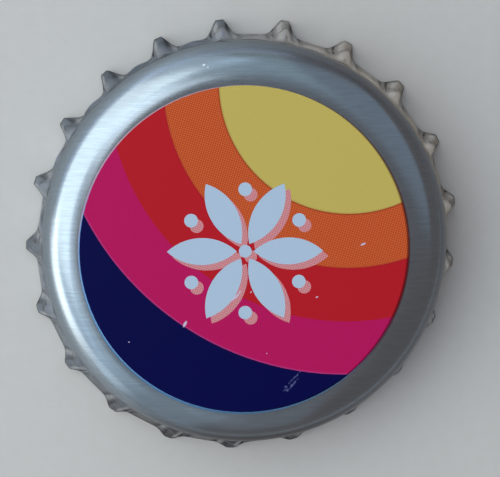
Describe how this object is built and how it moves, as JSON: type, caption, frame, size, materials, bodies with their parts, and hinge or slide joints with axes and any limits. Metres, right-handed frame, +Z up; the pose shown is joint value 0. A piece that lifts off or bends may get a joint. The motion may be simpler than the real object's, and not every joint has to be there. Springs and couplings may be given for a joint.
{
  "type": "bottle cap",
  "caption": "Pry-off bottle cap: a round fluted tinplate cap with a moulded sealing liner inside and a printed top panel, spread a little by an opener.",
  "frame": {"origin": "centre of the rim plane, which the cap lies on, face up", "axes": "+Z up through the top panel, +X to the right and +Y to the top of the print"},
  "size_m": [0.0299, 0.0301, 0.0062],
  "materials": {
    "tinplate": "satin, with a fine rolling grain",
    "liner_compound": "smooth moulded, translucent ivory",
    "ink_yellow": "offset ink under thin varnish",
    "ink_orange": "offset ink under thin varnish",
    "ink_red": "offset ink under thin varnish",
    "ink_magenta": "offset ink under thin varnish",
    "ink_navy": "offset ink under thin varnish",
    "ink_white": "offset ink under thin varnish",
    "ink_shadow": "halftone tint under thin varnish"
  },
  "bodies": {
    "root": {"cap_shell": "tinplate", "liner": "liner_compound", "print_yellow": "ink_yellow", "print_orange": "ink_orange", "print_red": "ink_red", "print_magenta": "ink_magenta", "print_navy": "ink_navy", "print_white": "ink_white", "print_shadow": "ink_shadow"}
  },
  "joints": []
}
